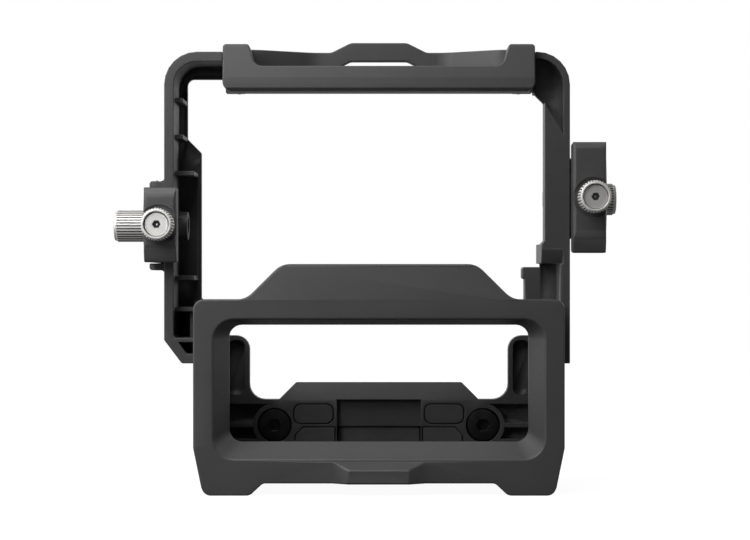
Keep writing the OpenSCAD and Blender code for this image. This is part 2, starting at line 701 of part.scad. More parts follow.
// Ribs across a channel between x0 and x1, with middles at the given heights
module ribs(x0, x1, y0, y1, zs) for (z = zs) block([x0, x1], [y0, y1], [z - rib_t / 2, z + rib_t / 2]);

function left_heel(t) = [[tray_hw, rail_low_z + t, 0],
    [left_out - heel_run - t / 2, rail_low_z + t, edge_r],
    [left_out - t, rail_low_z + heel_rise + t / 2, edge_r]];
module left_rail_half() {
    low = left_block_z - left_block_h / 2;
    high = left_block_z + left_block_h / 2;
    top_rib_z = rail_top_z - rib_first;
    low_rib_z = rail_low_z + low_rib_first;
    difference() {
        union() {
            slab_y(concat(left_heel(0), [[left_out, rail_top_z, rail_corner_r], [arm_in, rail_top_z, 0],
                [arm_in, rail_top_z - rail_wall, 0],
                [left_out - rail_wall, rail_top_z - rail_wall, rail_corner_r - rail_wall]],
                [for (i = [2:-1:0]) left_heel(rail_wall)[i]]), rail_front, rail_back);
            slab_y(concat(left_heel(0), [[left_out, rail_top_z, rail_corner_r], [arm_in, rail_top_z, 0],
                [arm_in, rail_top_z - arm_h, 0], [step_in, rail_top_z - arm_h, broad_r],
                [step_in, step_z + step_in - flange_in, edge_r], [flange_in, step_z, edge_r],
                [flange_in, shoulder_z, 0], [tray_hw, shoulder_z, 0]]), flange_front, rail_back);
            ribs(step_in, left_out - rail_wall + eps, rail_front + rib_inset, flange_front + eps,
                [top_rib_z, top_rib_z - rib_pitch]);
            ribs(tray_hw + rib_t, left_out - rail_wall + eps, rail_front + rib_inset, flange_front + eps,
                [top_rib_z - 2 * rib_pitch, low_rib_z + low_rib_pitch, low_rib_z]);
            ribs(tray_hw, left_out - rail_wall + eps, rail_front, flange_front + eps,
                [rail_low_z + heel_rise]);
            block([tray_hw, tray_hw + rail_wall], [rail_screw_y - 2 * small_head_r, rail_back],
                [rail_low_z, tray_top]);
            rod_x(boss_r, side_y, left_block_z, left_out - boss_l, left_out - eps);
            arm_lug();
            ears(left_out, left_pin_x, low, high);
        }
        bar_room();
        lug_bores();
        rail_pilots();
        ear_bores(left_pin_x, low, high);
        rod_x(insert_r + turn_fit, side_y, left_block_z, left_out - boss_l - over, left_out + over);
    }
}
module left_rail() color("#303133") mirror([1, 0, 0]) left_rail_half();

// Full front of the right rail, its top sloping up from the lip to the web's inner edge
module right_front() intersection() {
    slab_y([[right_out - eps, shoulder_low, 0], [right_out - eps, shoulder_low + front_up, 0],
        [web_in, web_top_z, 0], [web_in, shoulder_low + shoulder_h + shoulder_extra, edge_r],
        [web_in - shoulder_extra, shoulder_low + shoulder_h, edge_r],
        [web_in - shoulder_extra, shoulder_low, 0]], rail_front, web_front + web_t);
    slab_x([[rail_front + chin_d, shoulder_low, 0], [web_front + web_t, shoulder_low, 0],
        [web_front + web_t, web_top_z, 0], [rail_front, web_top_z, 0],
        [rail_front, shoulder_low + shoulder_h - broad_r, sweep_r]], web_in - shoulder_extra, right_out);
}
module right_rail() color("#303133") {
    low = right_block_z - right_tail_h / 2;
    high = right_block_z + right_tail_h / 2;
    arm_z = rail_top_z - right_arm_h;
    top_rib_z = rail_top_z - rib_first;
    difference() {
        union() {
            block([tray_hw, right_out], [rail_front, rail_back], [rail_low_z, shoulder_low]);
            slab_y([[right_out, tray_top, 0], [right_out, rail_top_z, rail_corner_r],
                [arm_in, rail_top_z, 0], [arm_in, rail_top_z - lip_t, 0],
                [right_out - lip_t, rail_top_z - lip_t, rail_corner_r - lip_t],
                [right_out - lip_t, tray_top, 0]], rail_front, rail_back);
            slab_y([[right_out, shoulder_low, 0], [right_out, rail_top_z, rail_corner_r],
                [arm_in, rail_top_z, 0], [arm_in, arm_z, 0], [bar_hw, arm_z, 0],
                [web_in, arm_z - (web_in - bar_hw), edge_r],
                [web_in, shoulder_low + shoulder_h + shoulder_extra, edge_r],
                [web_in - shoulder_extra, shoulder_low + shoulder_h, edge_r],
                [web_in - shoulder_extra, shoulder_low, 0]], web_front, web_front + web_t);
            block([web_in - shoulder_extra, right_out], [web_front, rail_back],
                [shoulder_low, shoulder_low + shoulder_h]);
            right_front();
            block([web_in, right_out], [flange_front, rail_back], [tray_top, shoulder_low + eps]);
            block([bar_hw + move_gap, right_out - rail_wall], [web_front, lug_back],
                [arm_z, rail_top_z - rail_wall]);
            ribs(web_in + web_t, right_out - eps, web_front + eps, rail_back,
                [for (k = [0:3]) top_rib_z - k * rib_pitch]);
            rod_x(boss_r, side_y, right_block_z, right_out - boss_l, right_out - eps);
            arm_lug();
            ears(right_out, right_pin_x, low, high);
        }
        bar_room();
        lug_bores();
        rail_pilots();
        ear_bores(right_pin_x, low, high);
        rod_x(insert_r + turn_fit, side_y, right_block_z, right_out - boss_l - over, right_out + over);
    }
}
module rail_screws() color("#55575a") both_sides() for (z = rail_screw_zs) difference() {
    union() {
        rod_x(small_r, rail_screw_y, z, tray_in - eps, tray_hw + rail_bite - move_gap);
        rod_x(small_head_r, rail_screw_y, z, tray_in - small_head_h, tray_in);
    }
    translate([tray_in - small_head_h / 2, rail_screw_y, z]) rotate([0, -90, 0])
        cylinder(r = small_r, h = over, $fn = 6);
}

module top_bar() color("#3c3d3f") difference() {
    intersection() {
        slab_y(both([[bar_hw, bar_low_z, bar_corner_r], [bar_hw, end_z, edge_r], [end_in, end_z, edge_r],
            [end_in - end_up, bar_top_z, notch_r]]), top_bar_front, bar_back);
        slab_x([[top_bar_front, bar_low_z + bar_cut, fine_r],
            [top_bar_front + bar_cut, bar_low_z, fine_r], [bar_back, bar_low_z, edge_r],
            [bar_back, end_z, edge_r], [top_bar_front + bar_lean, end_z, edge_r],
            [top_bar_front, bar_low_z + crease_h, broad_r]], -bar_hw, bar_hw);
    }
    both_sides() for (z = bar_screw_zs)
        rod_y(small_r + turn_fit, bar_screw_x, z, bar_back - bite, bar_back + over);
}
module rear_bar() color("#38393b") difference() {
    intersection() {
        slab_z(both([[bow_hw, bar_back + bow, bend_r], [end_in - end_up, bar_back, bend_r],
            [tab_end, bar_back, 0], [tab_end, tab_back, 0],
            [end_in - end_up + bow_shift, tab_back, bend_r],
            [bow_hw + bow_shift, bar_back + bow + rear_bar_t, bend_r]]), bar_low_z, rear_top_z + loop_up);
        slab_y(both([[loop_hw, rear_low_z + loop_up, broad_r], [loop_hw + loop_run, rear_low_z, broad_r],
            [end_in - end_up, rear_low_z, 0], [end_in, tab_low_z, 0], [tab_end, tab_low_z, 0],
            [tab_end, rear_top_z, 0], [loop_hw + loop_run, rear_top_z, sweep_r],
            [loop_hw, rear_top_z + loop_up, sweep_r]]), bar_back, bar_back + bow + rear_bar_t);
    }
    both_sides() for (z = bar_screw_zs)
        rod_y(small_r + pass_fit, bar_screw_x, z, bar_back - over, tab_back + over);
}
module top_bar_screws() color("#55575a") both_sides() for (z = bar_screw_zs)
    small_screw_y(bar_screw_x, z, lug_back, lug_back - bar_back + bite - move_gap);

// Side outline of a block's front, sloped at its top and its foot, back to y
function block_side(low, high, brow, y) = [[block_front + chin_d, low, edge_r],
    [block_front, low + chin_h, 2 * chin_h], [block_front, high - brow, 2 * brow],
    [block_front + brow_d, high, fine_r / 2], [y, high, 0], [y, low, 0]];
module left_block() color("#3a3b3d") mirror([1, 0, 0]) {
    low = left_block_z - left_block_h / 2;
    high = left_block_z + left_block_h / 2;
    wrap_y = rail_front - move_gap;
    difference() {
        intersection() {
            union() {
                slab_z([[left_face, block_front, edge_r], [left_face, hinge_y, 0], [left_in, hinge_y, 0],
                    [left_in, wrap_y, 0], [left_wrap_x, wrap_y, fine_r],
                    [left_wrap_x, block_front, edge_r]], low, high);
                rod_z(knuckle_r, left_pin_x, hinge_y, low, high);
            }
            slab_x(block_side(low, high, brow_h, rail_back), left_wrap_x, left_face);
        }
        rod_z(pin_r + turn_fit, left_pin_x, hinge_y, low - over, high + over);
        rod_y(dish_r, left_front_x, left_block_z, block_front - over, dish_y);
        rod_y(insert_r + turn_fit, left_front_x, left_block_z, block_front - over, dish_y + insert_l);
        rod_x(insert_r + turn_fit, side_y, left_block_z, left_in - over, left_face + over);
    }
}
module right_block() color("#3a3b3d") {
    head = [right_block_z - right_block_h / 2, right_block_z + right_block_h / 2];
    tail = [right_block_z - right_tail_h / 2, right_block_z + right_tail_h / 2];
    head_back = block_front + right_head_d;
    difference() {
        union() {
            intersection() {
                slab_z([[right_in, block_front, edge_r], [right_face, block_front, edge_r],
                    [right_face, head_back, edge_r], [right_in, head_back, 0]], head[0], head[1]);
                slab_x(block_side(head[0], head[1], right_brow_h, head_back), right_in, right_face);
            }
            block([right_in, right_face], [block_front + chin_d, hinge_y], tail);
            rod_z(knuckle_r, right_pin_x, hinge_y, tail[0], tail[1]);
        }
        rod_z(pin_r + turn_fit, right_pin_x, hinge_y, tail[0] - over, tail[1] + over);
        rod_y(dish_r, right_front_x, right_block_z, block_front - over, dish_y);
        rod_y(insert_r + turn_fit, right_front_x, right_block_z, block_front - over, dish_y + insert_l);
        rod_x(insert_r + turn_fit, side_y, right_block_z, right_in - over, right_seat + over);
        rod_x(knob_r + 2 * move_gap, side_y, right_block_z, right_seat, right_face + over);
    }
}
module hinge_pin(x, low, high) color("#c9cbcd") {
    head_z = high + ear_gap + ear_t;
    rod_z(pin_r, x, hinge_y, low - ear_gap - ear_t, head_z + eps);
    rod_z(knuckle_r - move_gap, x, hinge_y, head_z, head_z + pin_head_h);
}
module left_hinge_pin()
    hinge_pin(-left_pin_x, left_block_z - left_block_h / 2, left_block_z + left_block_h / 2);
module right_hinge_pin()
    hinge_pin(right_pin_x, right_block_z - right_tail_h / 2, right_block_z + right_tail_h / 2);

// Threaded insert along +Z from the origin
module insert(l) difference() {
    cylinder(r = insert_r, h = l);
    translate([0, 0, -over]) cylinder(r = shank_r + turn_fit, h = l + 2 * over);
}
module front_insert(x, z) translate([x, dish_y + insert_l, z]) rotate([90, 0, 0]) insert(insert_l);
module block_inserts_left() color("#b58d3d") {
    front_insert(-left_front_x, left_block_z);
    translate([-left_face, side_y, left_block_z]) rotate([0, 90, 0]) insert(side_insert_l);
}
module block_inserts_right() color("#b58d3d") {
    front_insert(right_front_x, right_block_z);
    translate([right_in + move_gap, side_y, right_block_z]) rotate([0, 90, 0])
        insert(right_seat - right_in - move_gap);
}
module rail_inserts() color("#b58d3d") {
    translate([-left_out, side_y, left_block_z]) rotate([0, 90, 0]) insert(rail_insert_l);
    translate([right_out - rail_insert_l, side_y, right_block_z]) rotate([0, 90, 0]) insert(rail_insert_l);
}

// Knurled sleeve along +Z from the origin, with its screw's seat at the far end
module knob(l) color("#c4c4c2") difference() {
    intersection() {
        linear_extrude(l) polygon([for (k = [0:2 * knob_teeth - 1])
            (knob_r - (k % 2) * knurl_d) * [cos(180 * k / knob_teeth), sin(180 * k / knob_teeth)]]);
        rotate_extrude() polygon([[0, 0], [knob_r - knob_cut, 0], [knob_r + eps, knob_cut],
            [knob_r + eps, l - knob_cut], [knob_r - knob_cut, l], [0, l]]);
    }
    translate([0, 0, l - head_sink - head_h]) cylinder(r = head_r + move_gap, h = head_h + over);
    translate([0, 0, -over]) cylinder(r = shank_r + turn_fit, h = l + over);
}
// Socket screw along +Z that a sleeve of length l turns, reaching below the origin
module knob_screw(l, reach) color("#d6d6d4") difference() {
    union() {
        translate([0, 0, -reach]) cylinder(r = shank_r, h = reach + l - head_sink - head_h + eps);
        translate([0, 0, l - head_sink - head_h]) cylinder(r = head_r, h = head_h);
    }
    translate([0, 0, l - head_sink - hex_d]) cylinder(r = hex_af / sqrt(3), h = hex_d + over, $fn = 6);
}
module at_left_front()
    translate([-left_front_x, dish_y - move_gap, left_block_z]) rotate([90, 0, 0]) children();
module at_left_side()
    translate([-left_face - move_gap, side_y, left_block_z]) rotate([0, -90, 0]) children();
module at_right_front()
    translate([right_front_x, dish_y - move_gap, right_block_z]) rotate([90, 0, 0]) children();
module at_right_side()
    translate([right_seat + move_gap, side_y, right_block_z]) rotate([0, 90, 0]) children();
module left_front_knob() at_left_front() knob(front_knob_l);
module left_front_screw() at_left_front() knob_screw(front_knob_l, insert_l);
module left_side_knob() at_left_side() knob(side_knob_l);
module left_side_screw() at_left_side() knob_screw(side_knob_l, side_insert_l);
module right_front_knob() at_right_front() knob(front_knob_l);
module right_front_screw() at_right_front() knob_screw(front_knob_l, insert_l);
module right_side_knob() at_right_side() knob(side_knob_l);
module right_side_screw() at_right_side() knob_screw(side_knob_l, right_seat - right_in);

// Frame with its origin under the middle of the whole object's box
module placed() translate([-centre_x, -centre_y, 0]) children();

placed() front_bezel();
placed() base_tray();
placed() rear_plate();
placed() oval_pads();
placed() lower_pads();
placed() centre_pad();
placed() rear_screw_left();
placed() rear_screw_right();
placed() screw_rings();
placed() bezel_screws();
placed() plate_screws();
placed() left_rail();
placed() right_rail();
placed() rail_screws();
placed() top_bar();
placed() rear_bar();
placed() top_bar_screws();
placed() left_block();
placed() right_block();
placed() left_hinge_pin();
placed() right_hinge_pin();
placed() block_inserts_left();
placed() block_inserts_right();
placed() rail_inserts();
placed() left_front_knob();
placed() left_front_screw();
placed() left_side_knob();
placed() left_side_screw();
placed() right_front_knob();
placed() right_front_screw();
placed() right_side_knob();
placed() right_side_screw();
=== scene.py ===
# Transmitter cage: finishes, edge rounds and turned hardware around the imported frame.
import math

import bmesh
import bpy
from mathutils import Matrix, Vector
from mathutils.geometry import delaunay_2d_cdt


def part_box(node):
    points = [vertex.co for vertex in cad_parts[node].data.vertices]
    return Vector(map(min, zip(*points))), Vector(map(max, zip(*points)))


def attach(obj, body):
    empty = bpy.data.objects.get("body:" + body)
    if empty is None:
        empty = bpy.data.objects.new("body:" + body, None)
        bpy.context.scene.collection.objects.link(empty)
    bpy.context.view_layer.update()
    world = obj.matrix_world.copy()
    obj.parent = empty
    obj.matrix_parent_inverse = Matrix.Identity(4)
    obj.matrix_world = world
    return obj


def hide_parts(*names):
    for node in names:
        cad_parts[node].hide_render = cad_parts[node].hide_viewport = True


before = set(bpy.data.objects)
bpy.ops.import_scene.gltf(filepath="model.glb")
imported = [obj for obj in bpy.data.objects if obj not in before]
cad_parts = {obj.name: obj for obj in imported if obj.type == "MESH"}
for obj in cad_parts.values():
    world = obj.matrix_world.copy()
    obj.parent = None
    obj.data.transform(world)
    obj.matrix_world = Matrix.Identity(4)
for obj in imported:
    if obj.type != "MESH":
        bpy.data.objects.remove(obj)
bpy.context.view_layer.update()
MM = 0.001

# Sizes of the turned hardware, in millimetres
KNOB_R = 5.6
KNOB_TEETH = 34
KNURL_D = 0.5
KNOB_CUT = 0.7
COLLAR_R = 5.2
COLLAR_H = 0.9
HEAD_R = 4.1
HEAD_SEAT_R = 4.4
HEAD_H = 2.2
HEAD_SINK = 1.0
HEX_AF = 2.5
HEX_D = 1.5
SHANK_R = 2.0
STUD_R = 3.1
NECK_R = 2.5
NECK_END = 5.2
STUD_PITCH = 1.27
RING_STEPS = 48

# Chamfers and small rounds of the thumbscrews, in millimetres
SHANK_GAP = 0.06
KNURL_FOOT_R = 0.3
KNURL_FOOT_D = 0.1
KNURL_END = 0.2
COLLAR_ROUND = 0.35
COLLAR_MID_R = 0.1
MOUTH_CUT = 0.12
SHANK_CUT = 0.4
HEAD_FOOT_CUT = 0.15
HEAD_EDGE = 0.2
HEX_CUT = 0.2
HEX_CUT_D = 0.14
HEX_TIP = 0.6
HEX_RIM_SHARE = 0.72

# The captive screws, in millimetres
CAPTIVE_HEAD_H = 2.6
CAPTIVE_FLAT = 1.6
CAPTIVE_ROUND_R = 0.4
CAPTIVE_ROUND_D = 0.12
CAPTIVE_ROUND_END = 0.5
CAPTIVE_HEX_AF = 4.0
CAPTIVE_HEX_D = 2.0
CAPTIVE_HEX_CUT = 0.3
CAPTIVE_HEX_CUT_D = 0.15
CAPTIVE_HEX_TIP = 1.0
CAPTIVE_RIM_SHARE = 0.68
THREAD_D = 0.5
THREAD_STEPS = 10
THREAD_START = 0.3
THREAD_STOP = 0.6
STUD_CUT = 0.7

# Edge rounding of the moulded pieces, in millimetres and degrees
MERGE_MM = 0.03
FLAT_DEG = 0.6
SHARP_DEG = 28.0
SMOOTH_DEG = 33.0
LONG_EDGE = 3.0
BROAD_SEGMENTS = 5

# Camera, from the photo's perspective: the principal point in pixels, and the scale at the bezel's face
IMAGE_W, IMAGE_H = 750, 540
PRINCIPAL_X, PRINCIPAL_Y = 378.0, 277.6
MM_PER_PIXEL = 0.344
CAMERA_D = 700.0
CAMERA_Z = 75.1
SENSOR = 36.0
GRIP_OUT = 4.0
BEZEL_CENTRE_PX = 378.9


# Materials

def nodes_of(name):
    """A new node material and its Principled shader."""
    material = bpy.data.materials.new(name)
    material.use_nodes = True
    return material, material.node_tree, material.node_tree.nodes["Principled BSDF"]


def noise(tree, scale, detail=4.0):
    """Noise over the piece's own coordinates."""
    coords = tree.nodes.new("ShaderNodeTexCoord")
    texture = tree.nodes.new("ShaderNodeTexNoise")
    texture.inputs["Scale"].default_value = scale
    texture.inputs["Detail"].default_value = detail
    texture.inputs["Roughness"].default_value = 0.55
    tree.links.new(coords.outputs["Object"], texture.inputs["Vector"])
    return texture.outputs["Fac"]


def ramp(tree, fac, low, high, start=0.3, end=0.7):
    """A colour ramp between two values or colours."""
    node = tree.nodes.new("ShaderNodeValToRGB")
    node.color_ramp.elements[0].position = start
    node.color_ramp.elements[1].position = end
    for element, value in zip(node.color_ramp.elements, (low, high)):
        element.color = (*value, 1.0) if isinstance(value, tuple) else (value, value, value, 1.0)
    tree.links.new(fac, node.inputs["Fac"])
    return node.outputs["Color"]


def bump(tree, shader, height, strength, distance):
    """Fine surface grain; the distance is in metres."""
    node = tree.nodes.new("ShaderNodeBump")
    node.inputs["Strength"].default_value = strength
    node.inputs["Distance"].default_value = distance
    tree.links.new(height, node.inputs["Height"])
    tree.links.new(node.outputs["Normal"], shader.inputs["Normal"])


def painted_edge_highlight(tree, colour, edge_colour, strength):
    """Lightens convex edges a little: a painted edge highlight."""
    geometry = tree.nodes.new("ShaderNodeNewGeometry")
    fac = ramp(tree, geometry.outputs["Pointiness"], 0.0, strength, 0.52, 0.60)
    mix = tree.nodes.new("ShaderNodeMix")
    mix.data_type = "RGBA"
    tree.links.new(fac, mix.inputs["Factor"])
    tree.links.new(colour, mix.inputs["A"])
    mix.inputs["B"].default_value = (*edge_colour, 1.0)
    return mix.outputs["Result"]


def moulded(name, level, roughness, grain):
    """Fine-textured moulded plastic around one grey level."""
    material, tree, shader = nodes_of(name)
    blotch = ramp(tree, noise(tree, 45.0), (level * 0.93,) * 3, (level * 1.07, level * 1.07, level * 1.09))
    # Convex edges are painted lighter here: a painted edge highlight.
    tint = painted_edge_highlight(tree, blotch, (level * 1.7,) * 3, 0.5)
    tree.links.new(tint, shader.inputs["Base Color"])
    sheen = ramp(tree, noise(tree, 900.0), roughness - 0.05, roughness + 0.06)
    tree.links.new(sheen, shader.inputs["Roughness"])
    shader.inputs["Specular IOR Level"].default_value = 0.42
    bump(tree, shader, noise(tree, 3800.0, 2.0), grain, 0.00006)
    return material


def rubber():
    """Matt rubber of the pads."""
    material, tree, shader = nodes_of("pad_rubber")
    tint = ramp(tree, noise(tree, 160.0), (0.037,) * 3, (0.046, 0.046, 0.047))
    tree.links.new(tint, shader.inputs["Base Color"])
    tree.links.new(ramp(tree, noise(tree, 1200.0), 0.68, 0.8), shader.inputs["Roughness"])
    shader.inputs["Specular IOR Level"].default_value = 0.3
    bump(tree, shader, noise(tree, 5200.0, 3.0), 0.35, 0.00008)
    return material


def metal(name, low, high, rough_low, rough_high, grain=0.12):
    """Turned metal with a little mottling and fine tool marks."""
    material, tree, shader = nodes_of(name)
    tree.links.new(ramp(tree, noise(tree, 300.0), low, high), shader.inputs["Base Color"])
    tree.links.new(ramp(tree, noise(tree, 1500.0, 6.0), rough_low, rough_high), shader.inputs["Roughness"])
    shader.inputs["Metallic"].default_value = 1.0
    bump(tree, shader, noise(tree, 6000.0, 3.0), grain, 0.00003)
    return material


SHELL = moulded("shell_plastic", 0.042, 0.50, 0.30)
DARK_SHELL = moulded("dark_shell_plastic", 0.033, 0.52, 0.30)
RUBBER = rubber()
STEEL = metal("turned_steel", (0.62, 0.61, 0.59), (0.68, 0.67, 0.65), 0.64, 0.70, 0.04)
HEAD_STEEL = metal("head_steel", (0.86, 0.85, 0.83), (0.92, 0.91, 0.89), 0.40, 0.48, 0.06)
# Near-black paint on the knurl's groove faces: painted shade in the grooves.
GROOVE_PAINTED_SHADE = metal("groove_painted_shade", (0.02, 0.02, 0.02), (0.03, 0.03, 0.03), 0.45, 0.55, 0.04)
# Steel darker than the head inside the hex socket: painted shade; its low roughness catches real glints.
SOCKET_PAINTED_SHADE = metal("socket_steel_painted_shade", (0.25, 0.25, 0.25), (0.31, 0.31, 0.31), 0.18, 0.26, 0.04)
PIN_STEEL = metal("pin_steel", (0.52, 0.52, 0.52), (0.62, 0.62, 0.62), 0.25, 0.38)
BLACK_STEEL = metal("black_steel", (0.028, 0.028, 0.030), (0.045, 0.045, 0.047), 0.38, 0.52)
BRASS = metal("machined_brass", (0.55, 0.38, 0.14), (0.66, 0.48, 0.20), 0.28, 0.4)


# Moulded pieces: the solids with their edges rounded

def weighted(piece):
    """Flat faces keep flat shading beside their rounded edges."""
    modifier = piece.modifiers.new("weighted_normals", "WEIGHTED_NORMAL")
    modifier.keep_sharp = True


def finish_mesh(bm, name, material, sharp_deg):
    """An object from a finished shape, smooth but for its sharp edges."""
    mesh = bpy.data.meshes.new(name)
    bm.to_mesh(mesh)
    bm.free()
    for polygon in mesh.polygons:
        polygon.use_smooth = True
    mesh.set_sharp_from_angle(angle=math.radians(sharp_deg))
    mesh.materials.append(material)
    piece = bpy.data.objects.new(name, mesh)
    bpy.context.scene.collection.objects.link(piece)
    return piece


def retile(bm):
    """Splits the many-sided faces into well-shaped triangles."""
    bm.normal_update()
    for face in [f for f in bm.faces if len(f.verts) > 4]:
        verts = list(face.verts)
        normal = face.normal.copy()
        u = normal.orthogonal().normalized()
        v = normal.cross(u)
        level = face.calc_center_median().dot(normal)
        flat = [Vector((p.co.dot(u), p.co.dot(v))) / MM for p in verts]
        points, _, tiles, origins, _, _ = delaunay_2d_cdt(flat, [], [list(range(len(flat)))], 1, 1e-5)
        corners = [verts[came[0]] if came else bm.verts.new((u * p.x + v * p.y) * MM + normal * level)
                   for p, came in zip(points, origins)]
        bm.faces.remove(face)
        for tile in tiles:
            picked = [corners[k] for k in tile]
            if not bm.faces.get(picked):
                bm.faces.new(picked)


def sharp_edges(bm):
    """Outer corners of the shape."""
    return [e for e in bm.edges if len(e.link_faces) == 2 and e.is_convex
            and e.calc_face_angle() > math.radians(SHARP_DEG)]


def long_edges(edges):
    """Those long enough for a broad round."""
    return [e for e in edges if e.calc_length() > LONG_EDGE * MM]


def rounded(bm, edges, round_mm, segments):
    """Rounds the given edges."""
    bmesh.ops.bevel(bm, geom=edges, offset=round_mm * MM, offset_type="OFFSET", segments=segments,
                    profile=0.5, affect="EDGES", clamp_overlap=False, loop_slide=False)


def dressed(node, body, material, round_mm, segments=3, broad_mm=0.0):
    """A node's own shape with its outer corners rounded, in place of the node.

    With broad_mm, the long corners are first rounded broadly."""
    bm = bmesh.new()
    bm.from_mesh(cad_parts[node].data)
    bmesh.ops.remove_doubles(bm, verts=bm.verts, dist=MERGE_MM * MM)
    bmesh.ops.dissolve_limit(bm, angle_limit=math.radians(FLAT_DEG), verts=bm.verts, edges=bm.edges)
    if broad_mm:
        rounded(bm, long_edges(sharp_edges(bm)), broad_mm, BROAD_SEGMENTS)
    rounded(bm, sharp_edges(bm), round_mm, segments)
    retile(bm)
    bmesh.ops.recalc_face_normals(bm, faces=bm.faces)
    piece = finish_mesh(bm, node + "_dressed", material, SMOOTH_DEG)
    weighted(piece)
    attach(piece, body)
    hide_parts(node)


dressed("front_bezel", "cage", SHELL, 0.6)
dressed("top_bar", "cage", SHELL, 0.5)
dressed("rear_bar", "cage", SHELL, 0.5)
dressed("left_block", "left_swing_block", SHELL, 0.3, broad_mm=1.0)
dressed("right_block", "right_swing_block", SHELL, 0.3, broad_mm=1.0)
dressed("left_rail", "cage", DARK_SHELL, 0.35)
dressed("right_rail", "cage", DARK_SHELL, 0.35)
dressed("rear_plate", "cage", DARK_SHELL, 0.13)
dressed("base_tray", "cage", DARK_SHELL, 0.4)
dressed("oval_pads", "cage", RUBBER, 0.25)
dressed("lower_pads", "cage", RUBBER, 0.25)
dressed("centre_pad", "cage", RUBBER, 0.25)
for name in ("bezel_screws", "plate_screws", "rail_screws", "top_bar_screws"):
    dressed(name, "cage", BLACK_STEEL, 0.15, 2)
dressed("screw_rings", "cage", PIN_STEEL, 0.15, 2)
dressed("left_hinge_pin", "cage", PIN_STEEL, 0.2, 2)
dressed("right_hinge_pin", "cage", PIN_STEEL, 0.2, 2)
dressed("rail_inserts", "cage", BRASS, 0.15, 2)
dressed("block_inserts_left", "left_swing_block", BRASS, 0.15, 2)
dressed("block_inserts_right", "right_swing_block", BRASS, 0.15, 2)


# Turned hardware

def circle(r, z, steps=RING_STEPS):
    """A ring of points on a circle."""
    return [Vector((r * math.cos(2 * math.pi * k / steps), r * math.sin(2 * math.pi * k / steps), z))
            for k in range(steps)]


def hexagon(af, z, steps=RING_STEPS):
    """A ring of points on a hexagon, as many as on a circle."""
    ring = []
    for k in range(steps):
        turn = 2 * math.pi * k / steps
        r = af / 2 / math.cos((turn % (math.pi / 3)) - math.pi / 6)
        ring.append(Vector((r * math.cos(turn), r * math.sin(turn), z)))
    return ring


def lathe(name, rings, material, place, closed_ends=True, sharp_deg=35.0, inner=None, inner_material=None):
    """A solid through rings of points, set in its place.

    inner tells which faces take the other material."""
    bm = bmesh.new()
    rows = [[bm.verts.new(place @ (p * MM)) for p in ring] for ring in rings]
    for row, (low, high) in enumerate(zip(rows, rows[1:])):
        n = len(low)
        for k in range(n):
            face = bm.faces.new((low[k], low[(k + 1) % n], high[(k + 1) % n], high[k]))
            if inner and inner(row, k):
                face.material_index = 1
    if closed_ends:
        bm.faces.new(list(reversed(rows[0])))
        bm.faces.new(rows[-1])
    else:
        n = len(rows[0])
        for k in range(n):
            bm.faces.new((rows[-1][k], rows[-1][(k + 1) % n], rows[0][(k + 1) % n], rows[0][k]))
    bmesh.ops.recalc_face_normals(bm, faces=bm.faces)
    piece = finish_mesh(bm, name, material, sharp_deg)
    if inner:
        piece.data.materials.append(inner_material)
    return piece


# One tooth of the knurling: share of the pitch, and share of the depth
TOOTH_SHAPE = ((-0.30, 0.0), (0.30, 0.0), (0.42, 1.0), (0.58, 1.0))

# Which rows of rings make the grooves and the hex socket; their faces take painted shade
KNURL_ROWS = (3,)
SOCKET_ROWS = (9, 10, 11)


def knurl(z, r, depth):
    """A ring of straight knurling: broad teeth between narrow grooves."""
    ring = []
    for tooth in range(KNOB_TEETH):
        for share, dip in TOOTH_SHAPE:
            turn = 2 * math.pi * (tooth + share) / KNOB_TEETH
            radius = r - depth * dip
            ring.append(Vector((radius * math.cos(turn), radius * math.sin(turn), z)))
    return ring


def knob_rings(length):
    """A knurled sleeve, from its foot to its collar and down its bore to the seat."""
    steps = KNOB_TEETH * len(TOOTH_SHAPE)
    collar = length - COLLAR_H
    seat = length - HEAD_SINK - HEAD_H

    def plain(r, z):
        return circle(r, z, steps)

    return [plain(SHANK_R + SHANK_GAP, 0), plain(KNOB_R - KNOB_CUT, 0),
            knurl(KNOB_CUT * 0.5, KNOB_R - KNURL_FOOT_R, KNURL_FOOT_D), knurl(KNOB_CUT, KNOB_R, KNURL_D),
            knurl(collar - KNURL_END, KNOB_R, KNURL_D),
            knurl(collar, KNOB_R - KNURL_END, KNURL_D - KNURL_END),
            plain(COLLAR_R, collar), plain(COLLAR_R, length - COLLAR_ROUND),
            plain(COLLAR_R - COLLAR_MID_R, length - MOUTH_CUT), plain(COLLAR_R - COLLAR_ROUND, length),
            plain(HEAD_SEAT_R + MOUTH_CUT, length), plain(HEAD_SEAT_R, length - MOUTH_CUT),
            plain(HEAD_SEAT_R, seat), plain(SHANK_R + SHANK_GAP, seat)]


def groove(row, k):
    """Faces in the knurling's grooves, which take the painted groove shade."""
    return row in KNURL_ROWS and k % len(TOOTH_SHAPE) in (1, 2, 3)


def head_rings(length, reach):
    """A flat socket head over its shank."""
    top = length - HEAD_SINK
    seat = top - HEAD_H
    return [circle(SHANK_R - SHANK_CUT, -reach), circle(SHANK_R, -reach + SHANK_CUT), circle(SHANK_R, seat),
            circle(HEAD_R - HEAD_FOOT_CUT, seat), circle(HEAD_R, seat + HEAD_FOOT_CUT),
            circle(HEAD_R, top - HEAD_EDGE), circle(HEAD_R - HEAD_EDGE, top),
            circle(HEX_AF * HEX_RIM_SHARE, top), hexagon(HEX_AF + HEX_CUT, top),
            hexagon(HEX_AF, top - HEX_CUT_D), hexagon(HEX_AF, top - HEX_D), hexagon(HEX_TIP, top - HEX_D)]


def socket(row, k):
    """Faces inside the hex socket, which take the painted socket shade."""
    return row in SOCKET_ROWS


